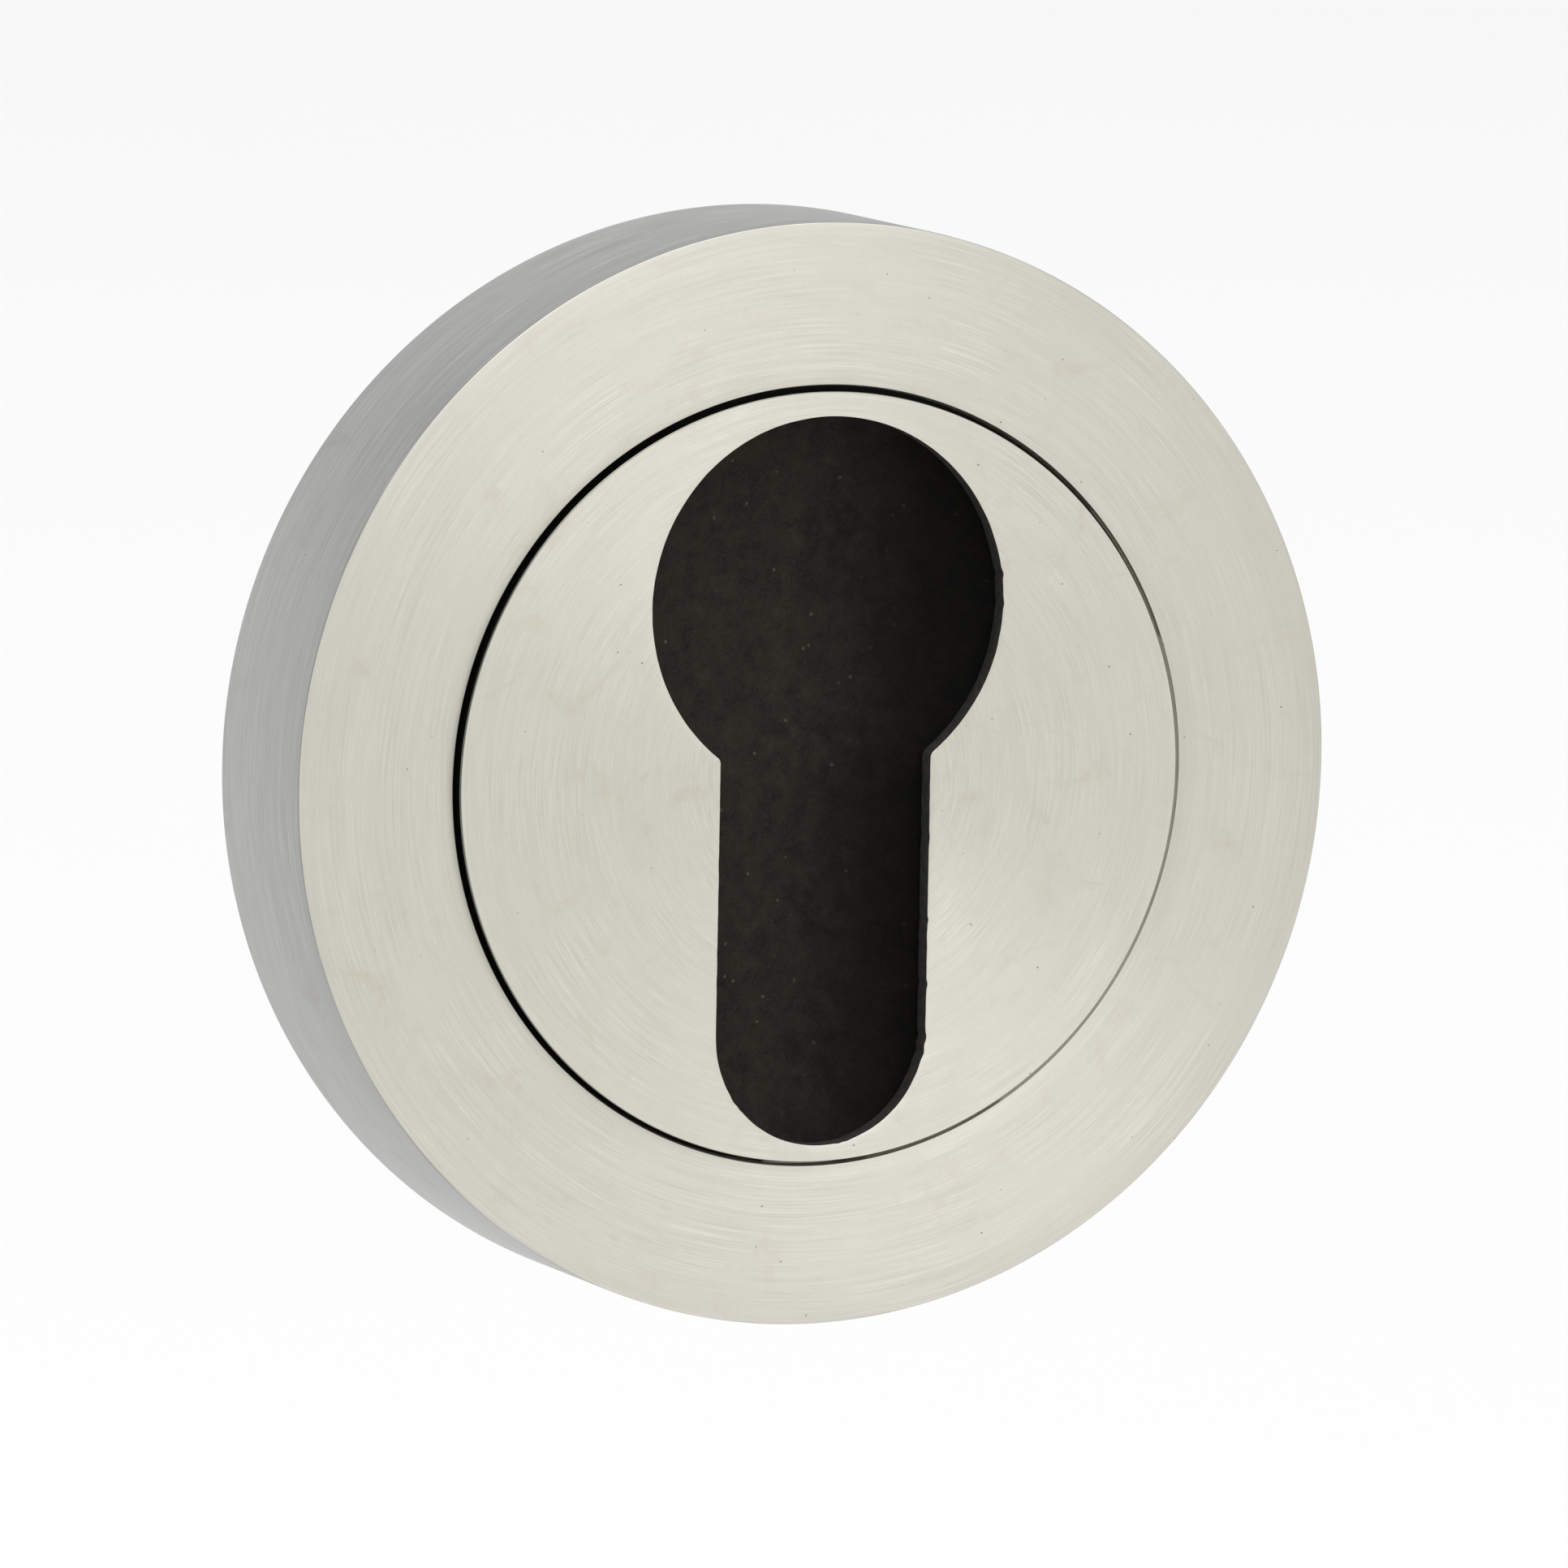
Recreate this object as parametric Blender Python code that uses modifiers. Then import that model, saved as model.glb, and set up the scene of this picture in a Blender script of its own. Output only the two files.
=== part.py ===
"""Round escutcheon (rose) for a euro-profile lock cylinder, with a screw-on cover.

A die-cast base is screwed to the door. A stainless cover ring with a threaded liner
turns onto it, and holds a face disc that keeps its keyed hole upright. All pieces are
drawn about one axis in a local frame: local +Z points out of the door, local +Y is up,
and local Z = 0 is the door's surface. A parent empty turns that frame so that the front
faces -Y and +Z is up.
"""
import math

import bmesh
import bpy
from mathutils import Matrix

MM = 0.001

# Driving dimensions, metres
COVER_R = 25.5 * MM
COVER_DEPTH = 9.9 * MM
COVER_WALL = 1.2 * MM
LIP_T = 1.2 * MM
LIP_HOLE_R = 18.05 * MM
RIM_BREAK = 0.1 * MM
LIP_BREAK = 0.1 * MM
DISC_R = 17.8 * MM
DISC_T = 1.0 * MM
DISC_PROUD = 0.35 * MM
DISC_DROP = 0.07 * MM
DISC_SHIFT = 0.08 * MM
DISC_EDGE_BREAK = 0.05 * MM

# Keyed hole for the euro-profile cylinder
KEY_CIRCLE_R = 8.72 * MM
KEY_CIRCLE_Y = 7.95 * MM
KEY_SLOT_HALF = 5.22 * MM
KEY_FOOT_Y = -11.84 * MM
KEY_NECK_R = 0.35 * MM
KEY_SHIFT = 0.2 * MM

# Fits
GAP = 0.25 * MM
KEY_LEAD = 0.5 * MM
COLLAR_WALL = 1.2 * MM
KEY_PLAY = 0.3 * MM

# Base plate and what seats in it
GASKET_T = 1.0 * MM
GASKET_R = 23.6 * MM
FLANGE_R = 23.9 * MM
FLANGE_T = 1.7 * MM
BASE_TOP = 6.1 * MM
O_RING_R = 0.6 * MM
O_RING_REACH = 24.05 * MM
GROOVE_FLOOR_R = 22.6 * MM
GROOVE_HALF = 0.75 * MM

# Screw thread between base and liner, right-handed
PITCH = 1.5 * MM
THREAD_ROOT_R = 21.7 * MM
THREAD_DEPTH = 0.7 * MM
THREAD_PLAY = 0.25 * MM
THREAD_WIDE = 0.75 * MM
THREAD_NARROW = 0.35 * MM
THREAD_BITE = 0.2 * MM
THREAD_MARGIN = 0.45 * MM
THREAD_PHASE_Z = 3.45 * MM
LINER_TOP = 7.25 * MM
LINER_FOOT = 3.25 * MM

# Insert: carrier, studs, push nuts and spring
CARRIER_FLANGE_R = 23.6 * MM
CARRIER_BOSS_R = 17.4 * MM
CARRIER_FLANGE_LOW = 7.5 * MM
CARRIER_FLANGE_HIGH = 8.4 * MM
CARRIER_FOOT = 3.2 * MM
STUD_R = 1.0 * MM
STUD_HOLE_R = 1.35 * MM
STUD_FOOT = 6.4 * MM
STUD_PLACES = ((13.4 * MM, 3.0 * MM), (-13.4 * MM, 3.0 * MM),
               (11.8 * MM, -8.6 * MM), (-11.8 * MM, -8.6 * MM))
PUSH_NUT_R = 3.0 * MM
PUSH_NUT_T = 0.3 * MM
PUSH_NUT_DISH = 0.2 * MM
SPRING_IN_R = 19.4 * MM
SPRING_OUT_R = 21.4 * MM
SPRING_T = 0.35 * MM
SPRING_WAVE = 0.28 * MM
SPRING_WAVES = 3

# Fixing screws, countersunk
SCREW_X = 16.0 * MM
SCREW_R = 1.6 * MM
SCREW_LENGTH = 20.0 * MM
SCREW_POINT = 4.0 * MM
SCREW_HEAD_R = 3.3 * MM
SCREW_HEAD_T = 1.9 * MM
SCREW_HEAD_RIM = 0.25 * MM
SCREW_HEAD_TOP = 4.0 * MM
SCREW_BORE_R = 2.0 * MM
COUNTERBORE_R = 3.8 * MM
DRIVE_SPAN = 3.4 * MM
DRIVE_BLADE = 0.75 * MM
DRIVE_DEPTH = 1.3 * MM

# Facets round a turn, and tolerances
ROUND_STEPS = 96
SPRING_STEPS = 72
THREAD_STEPS = 64
SMALL_STEPS = 24
O_RING_STEPS = 8
KEY_CIRCLE_STEPS = 40
KEY_FOOT_STEPS = 20
KEY_NECK_STEPS = 3
OVERCUT = 1.0 * MM
STUD_OVERLAP = DISC_T / 3
MERGE_DISTANCE = 0.001 * MM
SHARP_ANGLE = math.radians(30)

DISC_TOP = COVER_DEPTH + DISC_PROUD
DISC_LOW = DISC_TOP - DISC_T
BASE_LOW = GASKET_T + GAP
FLANGE_TOP = BASE_LOW + FLANGE_T
COLLAR_GROW = KEY_LEAD + COLLAR_WALL
SPRING_Z = (BASE_TOP + CARRIER_FLANGE_LOW) / 2


def clear_scene():
    for obj in list(bpy.data.objects):
        bpy.data.objects.remove(obj, do_unlink=True)


def new_collection(name):
    collection = bpy.data.collections.new(name)
    bpy.context.scene.collection.children.link(collection)
    return collection


def make_material(name, colour, roughness, metallic):
    material = bpy.data.materials.new(name)
    material.use_nodes = True
    shader = material.node_tree.nodes["Principled BSDF"]
    shader.inputs["Base Color"].default_value = (*colour, 1.0)
    shader.inputs["Roughness"].default_value = roughness
    shader.inputs["Metallic"].default_value = metallic
    return material


def add_object(name, mesh, collection):
    obj = bpy.data.objects.new(name, mesh)
    collection.objects.link(obj)
    return obj


def mesh_from(bm, name):
    bmesh.ops.recalc_face_normals(bm, faces=bm.faces)
    mesh = bpy.data.meshes.new(name)
    bm.to_mesh(mesh)
    bm.free()
    return mesh


def turned(name, profile, collection, steps=ROUND_STEPS):
    """Turn a profile about Z. A ring's profile is closed, and runs down its outer side."""
    mesh = bpy.data.meshes.new(name)
    edges = [(i, (i + 1) % len(profile)) for i in range(len(profile))]
    touches_axis = profile[0][0] == 0.0 and profile[-1][0] == 0.0
    if touches_axis:
        edges.pop()
    mesh.from_pydata([(r, 0.0, z) for r, z in profile], edges, [])
    obj = add_object(name, mesh, collection)
    screw = obj.modifiers.new("turn", "SCREW")
    screw.steps = steps
    screw.render_steps = steps
    screw.use_merge_vertices = True
    screw.merge_threshold = MERGE_DISTANCE
    return obj


def ring_profile(inner, outer, low, high):
    return [(outer, high), (outer, low), (inner, low), (inner, high)]


def rod_profile(radius, low, high):
    return [(0.0, high), (radius, high), (radius, low), (0.0, low)]


def evaluated_mesh(obj):
    """The mesh an object has once its modifiers or its curve are worked out."""
    bpy.context.view_layer.update()
    depsgraph = bpy.context.evaluated_depsgraph_get()
    return bpy.data.meshes.new_from_object(obj.evaluated_get(depsgraph))


def arc(centre, radius, start, end, steps):
    """Points along an arc, both ends included; angles in radians."""
    return [(centre[0] + radius * math.cos(start + (end - start) * i / steps),
             centre[1] + radius * math.sin(start + (end - start) * i / steps))
            for i in range(steps + 1)]


def key_outline(grow):
    """Outline of the euro-profile hole, moved outwards by grow."""
    circle_r = KEY_CIRCLE_R + grow
    half = KEY_SLOT_HALF + grow
    neck_x = half + KEY_NECK_R
    reach = circle_r + KEY_NECK_R
    neck_y = KEY_CIRCLE_Y - math.sqrt(reach ** 2 - neck_x ** 2)
    tilt = math.asin((KEY_CIRCLE_Y - neck_y) / reach)
    foot = arc((0.0, KEY_FOOT_Y), half, math.pi, 2 * math.pi, KEY_FOOT_STEPS)
    right_neck = arc((neck_x, neck_y), KEY_NECK_R, math.pi, math.pi - tilt, KEY_NECK_STEPS)
    circle = arc((0.0, KEY_CIRCLE_Y), circle_r, -tilt, math.pi + tilt, KEY_CIRCLE_STEPS)
    left_neck = arc((-neck_x, neck_y), KEY_NECK_R, tilt, 0.0, KEY_NECK_STEPS)
    return foot + right_neck + circle[1:-1] + left_neck


def prism(name, outline, low, high, collection):
    """Solid between two heights on a flat outline."""
    curve = bpy.data.curves.new(name, "CURVE")
    curve.dimensions = "2D"
    curve.fill_mode = "BOTH"
    curve.extrude = (high - low) / 2
    spline = curve.splines.new("POLY")
    spline.points.add(len(outline) - 1)
    for point, (x, y) in zip(spline.points, outline):
        point.co = (x, y, 0.0, 1.0)
    spline.use_cyclic_u = True
    guide = add_object(name + "_curve", curve, collection)
    mesh = evaluated_mesh(guide)
    bpy.data.objects.remove(guide, do_unlink=True)
    mesh.name = name
    mesh.transform(Matrix.Translation((0.0, 0.0, (low + high) / 2)))
    bm = bmesh.new()
    bm.from_mesh(mesh)
    bmesh.ops.remove_doubles(bm, verts=bm.verts, dist=MERGE_DISTANCE)
    bmesh.ops.recalc_face_normals(bm, faces=bm.faces)
    bm.to_mesh(mesh)
    bm.free()
    return add_object(name, mesh, collection)


def thread_ridge(name, foot_r, tip_r, phase_z, low, high, collection):
    """Right-handed helical ridge between two heights. It crosses local +X at phase_z."""
    rise = PITCH / THREAD_STEPS
    step_turn = 2 * math.pi / THREAD_STEPS
    first = math.ceil((low + THREAD_MARGIN - phase_z) / rise)
    last = math.floor((high - THREAD_MARGIN - phase_z) / rise)
    bm = bmesh.new()
    section = [bm.verts.new((foot_r, 0.0, -THREAD_WIDE / 2)),
               bm.verts.new((tip_r, 0.0, -THREAD_NARROW / 2)),
               bm.verts.new((tip_r, 0.0, THREAD_NARROW / 2)),
               bm.verts.new((foot_r, 0.0, THREAD_WIDE / 2))]
    face = bm.faces.new(section)
    start = Matrix.Translation((0.0, 0.0, phase_z + first * rise))
    bm.transform(start @ Matrix.Rotation(first * step_turn, 4, "Z"))
    bmesh.ops.spin(bm, geom=[face], cent=(0.0, 0.0, 0.0), axis=(0.0, 0.0, 1.0),
                   dvec=(0.0, 0.0, rise), angle=(last - first) * step_turn,
                   steps=last - first, use_duplicate=False)
    return add_object(name, mesh_from(bm, name), collection)


def boolean(obj, tool, operation):
    modifier = obj.modifiers.new(operation.lower() + "_" + tool.name, "BOOLEAN")
    modifier.operation = operation
    modifier.solver = "EXACT"
    modifier.object = tool


def cylinder(name, radius, low, high, place, collection, steps=SMALL_STEPS):
    bm = bmesh.new()
    bmesh.ops.create_cone(bm, cap_ends=True, segments=steps, radius1=radius, radius2=radius,
                          depth=high - low)
    bmesh.ops.translate(bm, verts=bm.verts, vec=(place[0], place[1], (low + high) / 2))
    return add_object(name, mesh_from(bm, name), collection)


def box(name, size, centre, collection):
    bm = bmesh.new()
    bmesh.ops.create_cube(bm, size=1.0)
    bmesh.ops.scale(bm, verts=bm.verts, vec=size)
    bmesh.ops.translate(bm, verts=bm.verts, vec=centre)
    return add_object(name, mesh_from(bm, name), collection)


def make_cover_ring(parts):
    """Stainless shell: side wall and front lip, with both front edges broken."""
    wall_in = COVER_R - COVER_WALL
    lip_low = COVER_DEPTH - LIP_T
    profile = [(COVER_R - RIM_BREAK, COVER_DEPTH), (COVER_R, COVER_DEPTH - RIM_BREAK),
               (COVER_R, 0.0), (wall_in, 0.0), (wall_in, lip_low), (LIP_HOLE_R, lip_low),
               (LIP_HOLE_R, COVER_DEPTH - LIP_BREAK), (LIP_HOLE_R + LIP_BREAK, COVER_DEPTH)]
    return turned("cover_ring", profile, parts)


def make_threaded_liner(parts, cutters):
    """Ring pressed into the shell, with the thread that runs on the base."""
    inner = THREAD_ROOT_R + THREAD_DEPTH + THREAD_PLAY
    outer = COVER_R - COVER_WALL - GAP
    liner = turned("threaded_liner", ring_profile(inner, outer, LINER_FOOT, LINER_TOP), parts,
                   THREAD_STEPS)
    ridge = thread_ridge("liner_thread", inner + THREAD_BITE, THREAD_ROOT_R + THREAD_PLAY,
                         THREAD_PHASE_Z + PITCH / 2, LINER_FOOT, LINER_TOP, cutters)
    boolean(liner, ridge, "UNION")
    return liner


def make_face_disc(parts, cutters):
    """Stainless disc with the keyed hole and four studs welded to its back.

    The disc lies a little down and to one side in the lip's hole, within its play, and
    its keyed hole is punched a little to one side of its centre.
    """
    rim = DISC_R - DISC_EDGE_BREAK
    profile = [(0.0, DISC_TOP), (rim, DISC_TOP), (DISC_R, DISC_TOP - DISC_EDGE_BREAK),
               (DISC_R, DISC_LOW), (0.0, DISC_LOW)]
    disc = turned("face_disc", profile, parts)
    disc.location = (DISC_SHIFT, -DISC_DROP, 0.0)
    hole = prism("key_hole", key_outline(0.0), DISC_LOW - OVERCUT, DISC_TOP + OVERCUT, cutters)
    hole.location = (DISC_SHIFT + KEY_SHIFT, -DISC_DROP, 0.0)
    boolean(disc, hole, "DIFFERENCE")
    for number, place in enumerate(STUD_PLACES, 1):
        stud = cylinder(f"stud_{number}", STUD_R, STUD_FOOT, DISC_LOW + STUD_OVERLAP, place,
                        cutters)
        stud.location = disc.location
        boolean(disc, stud, "UNION")
    return disc


def make_disc_carrier(parts, cutters):
    """Nylon carrier: flange under the lip, boss under the disc, keyed collar in the base."""
    profile = [(0.0, DISC_LOW - GAP), (CARRIER_BOSS_R, DISC_LOW - GAP),
               (CARRIER_BOSS_R, CARRIER_FLANGE_HIGH), (CARRIER_FLANGE_R, CARRIER_FLANGE_HIGH),
               (CARRIER_FLANGE_R, CARRIER_FLANGE_LOW), (0.0, CARRIER_FLANGE_LOW)]
    carrier = turned("disc_carrier", profile, parts)
    collar = prism("collar", key_outline(COLLAR_GROW), CARRIER_FOOT,
                   CARRIER_FLANGE_LOW + OVERCUT / 2, cutters)
    boolean(carrier, collar, "UNION")
    hole = prism("collar_hole", key_outline(KEY_LEAD), CARRIER_FOOT - OVERCUT,
                 DISC_LOW + OVERCUT, cutters)
    boolean(carrier, hole, "DIFFERENCE")
    for number, place in enumerate(STUD_PLACES, 1):
        bore = cylinder(f"stud_bore_{number}", STUD_HOLE_R, CARRIER_FLANGE_LOW - OVERCUT,
                        DISC_LOW + OVERCUT, place, cutters)
        boolean(carrier, bore, "DIFFERENCE")
    return carrier


def make_push_nuts(parts):
    """Dished spring-steel washers that grip the studs from behind."""
    high = CARRIER_FLANGE_LOW - GAP
    profile = [(PUSH_NUT_R, high), (PUSH_NUT_R, high - PUSH_NUT_T),
               (STUD_HOLE_R, high - PUSH_NUT_T - PUSH_NUT_DISH),
               (STUD_HOLE_R, high - PUSH_NUT_DISH)]
    nuts = []
    for number, place in enumerate(STUD_PLACES, 1):
        nut = turned(f"push_nut_{number}", profile, parts, SMALL_STEPS)
        nut.location = (place[0], place[1], 0.0)
        nuts.append(nut)
    return nuts


def make_wave_spring(parts):
    """Flat ring with a wave in it, which presses the insert against the lip."""
    low = SPRING_Z - SPRING_T / 2
    flat = turned("flat_spring", ring_profile(SPRING_IN_R, SPRING_OUT_R, low, low + SPRING_T),
                  parts, SPRING_STEPS)
    mesh = evaluated_mesh(flat)
    bpy.data.objects.remove(flat, do_unlink=True)
    mesh.name = "wave_spring"
    for vertex in mesh.vertices:
        turn = math.atan2(vertex.co.y, vertex.co.x)
        vertex.co.z += SPRING_WAVE * math.cos(SPRING_WAVES * turn)
    return add_object("wave_spring", mesh, parts)


def make_base_plate(parts, cutters):
    """Die-cast base: flange with the ring groove, threaded boss, keyed opening, screw holes."""
    groove_z = BASE_LOW + FLANGE_T / 2
    profile = [(0.0, BASE_TOP), (THREAD_ROOT_R, BASE_TOP), (THREAD_ROOT_R, FLANGE_TOP),
               (FLANGE_R, FLANGE_TOP), (FLANGE_R, groove_z + GROOVE_HALF),
               (GROOVE_FLOOR_R, groove_z + GROOVE_HALF), (GROOVE_FLOOR_R, groove_z - GROOVE_HALF),
               (FLANGE_R, groove_z - GROOVE_HALF), (FLANGE_R, BASE_LOW), (0.0, BASE_LOW)]
    base = turned("base_plate", profile, parts, THREAD_STEPS)
    ridge = thread_ridge("base_thread", THREAD_ROOT_R - THREAD_BITE, THREAD_ROOT_R + THREAD_DEPTH,
                         THREAD_PHASE_Z, FLANGE_TOP, BASE_TOP, cutters)
    boolean(base, ridge, "UNION")
    opening = prism("base_opening", key_outline(COLLAR_GROW + KEY_PLAY), -OVERCUT,
                    BASE_TOP + OVERCUT, cutters)
    boolean(base, opening, "DIFFERENCE")
    rim_low = SCREW_HEAD_TOP - SCREW_HEAD_RIM
    hole = [(0.0, BASE_TOP + OVERCUT), (COUNTERBORE_R, BASE_TOP + OVERCUT),
            (COUNTERBORE_R, rim_low), (SCREW_BORE_R, rim_low - SCREW_HEAD_T),
            (SCREW_BORE_R, -OVERCUT), (0.0, -OVERCUT)]
    for side in (-1, 1):
        tool = turned(f"screw_hole_{side}", hole, cutters, SMALL_STEPS)
        tool.location.x = side * SCREW_X
        boolean(base, tool, "DIFFERENCE")
    return base


def make_door_gasket(parts, cutters):
    """Foam ring between the base and the door."""
    profile = rod_profile(GASKET_R, 0.0, GASKET_T)
    gasket = turned("door_gasket", profile, parts, THREAD_STEPS)
    opening = prism("gasket_opening", key_outline(COLLAR_GROW + KEY_PLAY), -OVERCUT,
                    GASKET_T + OVERCUT, cutters)
    boolean(gasket, opening, "DIFFERENCE")
    for side in (-1, 1):
        bore = cylinder(f"gasket_bore_{side}", SCREW_BORE_R, -OVERCUT, GASKET_T + OVERCUT,
                        (side * SCREW_X, 0.0), cutters)
        boolean(gasket, bore, "DIFFERENCE")
    return gasket


def make_o_ring(parts):
    """Rubber ring that grips the cover's wall, so that the cover doesn't work loose."""
    centre = (O_RING_REACH - O_RING_R, BASE_LOW + FLANGE_T / 2)
    circle = arc(centre, O_RING_R, 0.0, -2 * math.pi, O_RING_STEPS)
    return turned("o_ring", circle[:-1], parts, THREAD_STEPS)


def make_fixing_screws(parts, cutters):
    """Countersunk wood screws with a cross drive; their threads are left plain."""
    rim_low = SCREW_HEAD_TOP - SCREW_HEAD_RIM
    neck = rim_low - SCREW_HEAD_T
    tip = SCREW_HEAD_TOP - SCREW_LENGTH
    profile = [(0.0, SCREW_HEAD_TOP), (SCREW_HEAD_R, SCREW_HEAD_TOP), (SCREW_HEAD_R, rim_low),
               (SCREW_R, neck), (SCREW_R, tip + SCREW_POINT), (0.0, tip)]
    screws = []
    for side, x in (("left", -SCREW_X), ("right", SCREW_X)):
        screw = turned(f"fixing_screw_{side}", profile, parts, SMALL_STEPS)
        screw.location = (x, 0.0, 0.0)
        depth_z = SCREW_HEAD_TOP + (OVERCUT - DRIVE_DEPTH) / 2
        blade = box(f"drive_a_{side}", (DRIVE_SPAN, DRIVE_BLADE, DRIVE_DEPTH + OVERCUT),
                    (x, 0.0, depth_z), cutters)
        cross = box(f"drive_b_{side}", (DRIVE_BLADE, DRIVE_SPAN, DRIVE_DEPTH + OVERCUT),
                    (x, 0.0, depth_z), cutters)
        boolean(screw, blade, "DIFFERENCE")
        boolean(screw, cross, "DIFFERENCE")
        screws.append(screw)
    return screws


def finish_piece(obj, material, axis_empty):
    """Give a piece its material, smooth its round faces and hang it on the axis."""
    obj.data.materials.append(material)
    obj.data.shade_smooth()
    obj.data.set_sharp_from_angle(angle=SHARP_ANGLE)
    obj.parent = axis_empty


def main():
    clear_scene()
    parts = new_collection("euro_cylinder_rose")
    cutters = new_collection("cutters")
    axis_empty = bpy.data.objects.new("rose_axis", None)
    axis_empty.rotation_euler = (math.radians(90), 0.0, 0.0)
    parts.objects.link(axis_empty)

    stainless = make_material("stainless", (0.66, 0.65, 0.61), 0.34, 1.0)
    zinc = make_material("zinc", (0.50, 0.51, 0.53), 0.5, 1.0)
    nylon = make_material("nylon", (0.02, 0.02, 0.02), 0.55, 0.0)
    foam = make_material("foam", (0.03, 0.03, 0.03), 0.9, 0.0)
    rubber = make_material("rubber", (0.015, 0.015, 0.015), 0.6, 0.0)
    spring_steel = make_material("spring_steel", (0.42, 0.42, 0.43), 0.3, 1.0)
    plated_steel = make_material("plated_steel", (0.62, 0.62, 0.60), 0.3, 1.0)

    finish_piece(make_cover_ring(parts), stainless, axis_empty)
    finish_piece(make_threaded_liner(parts, cutters), zinc, axis_empty)
    finish_piece(make_face_disc(parts, cutters), stainless, axis_empty)
    finish_piece(make_disc_carrier(parts, cutters), nylon, axis_empty)
    for nut in make_push_nuts(parts):
        finish_piece(nut, spring_steel, axis_empty)
    finish_piece(make_wave_spring(parts), spring_steel, axis_empty)
    finish_piece(make_base_plate(parts, cutters), zinc, axis_empty)
    finish_piece(make_door_gasket(parts, cutters), foam, axis_empty)
    finish_piece(make_o_ring(parts), rubber, axis_empty)
    for screw in make_fixing_screws(parts, cutters):
        finish_piece(screw, plated_steel, axis_empty)

    for cutter in cutters.objects:
        cutter.parent = axis_empty
        cutter.hide_render = True
        cutter.display_type = "WIRE"


main()
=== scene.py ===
"""Looks of the round euro-profile escutcheon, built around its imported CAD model.

Everything is in metres in the row frame: the front faces -Y and +Z is up. Turned and
punched pieces are drawn in a local frame, as (x, up, out), and to_row() places them.
"""

import math
import random

import bmesh
import bpy
from mathutils import Matrix, Vector


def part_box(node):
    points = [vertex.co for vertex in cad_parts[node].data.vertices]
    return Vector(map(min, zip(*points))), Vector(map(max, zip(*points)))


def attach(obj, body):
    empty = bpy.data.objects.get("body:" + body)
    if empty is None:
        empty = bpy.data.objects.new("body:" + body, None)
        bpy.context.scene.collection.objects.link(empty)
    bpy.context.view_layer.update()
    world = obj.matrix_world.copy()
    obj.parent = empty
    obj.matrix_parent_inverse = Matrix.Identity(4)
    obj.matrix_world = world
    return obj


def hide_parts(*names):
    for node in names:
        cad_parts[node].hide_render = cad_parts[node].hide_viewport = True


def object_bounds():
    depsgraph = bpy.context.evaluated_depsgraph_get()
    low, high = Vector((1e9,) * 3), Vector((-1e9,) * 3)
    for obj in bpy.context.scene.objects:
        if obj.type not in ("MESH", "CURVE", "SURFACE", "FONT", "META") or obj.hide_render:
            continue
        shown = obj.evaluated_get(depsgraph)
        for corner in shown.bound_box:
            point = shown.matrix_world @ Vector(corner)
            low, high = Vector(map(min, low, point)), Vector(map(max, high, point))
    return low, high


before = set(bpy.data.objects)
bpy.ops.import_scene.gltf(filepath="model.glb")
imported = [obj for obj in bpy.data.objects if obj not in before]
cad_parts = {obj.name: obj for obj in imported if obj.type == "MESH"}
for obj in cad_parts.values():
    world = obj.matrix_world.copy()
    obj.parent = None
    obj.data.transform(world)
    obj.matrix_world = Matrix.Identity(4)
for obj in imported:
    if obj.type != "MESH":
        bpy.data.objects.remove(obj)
cad_low, cad_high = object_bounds()

MM = 0.001

# Camera, at the photograph's viewing angle
CAMERA_AZIMUTH = -22.719
CAMERA_ELEVATION = 6.966
CAMERA_ROLL = 1.033
CAMERA_DISTANCE = 707.6 * MM
CAMERA_LENS = 354.04
CAMERA_AIM_X = -1.627 * MM
CAMERA_AIM_Z = -0.346 * MM
CAMERA_AIM_IN = 0.05 * MM
SENSOR_WIDTH = 36.0

# Stage
FLOOR_DROP = 95.0 * MM
FLOOR_HALF = 30.0
FLOOR_GLOW_NEAR = (0.479, 0.470, 0.437)
FLOOR_GLOW_FAR = (0.416, 0.407, 0.379)
FLOOR_GLOW_REACH = (0.5, 2.2)
FLOOR_TONE = (0.500, 0.504)
FLOOR_MOTTLE = (3.0, 2.0)
CARD_EDGE = 9.08 * MM
CARD_DISH = 2.2 * MM
CARD_GROW = 0.42 * MM
CARD_ROWS = 96
CARD_COLUMNS = 32

# Light round the object: the room, then panels as (direction, outer and inner half-angle
# in degrees, colour), each laid over those before it
ROOM_COLOUR = (0.595, 0.622, 0.68)
SEEN_SKY = (0.96, 0.96, 0.97)
PANELS = (
    ((0.45, -0.88, 0.00), 65, 20, (1.11, 1.105, 1.09)),
    ((-0.86, -0.50, 0.00), 55, 25, (0.30, 0.32, 0.34)),
    ((-0.80, -0.40, -0.45), 38, 12, (0.575, 0.595, 0.615)),
    ((0.00, -0.62, 0.78), 48, 18, (2.20, 2.19, 2.30)),
    ((0.40, -0.35, -0.85), 60, 25, (1.22, 1.22, 1.27)),
    ((-0.66, 0.74, -0.16), 45, 15, (0.775, 0.80, 0.875)),
    ((0.10, 0.80, -0.60), 45, 15, (0.80, 0.815, 0.88)),
    ((0.50, 0.82, 0.28), 30, 8, (0.52, 0.54, 0.58)),
)

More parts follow.
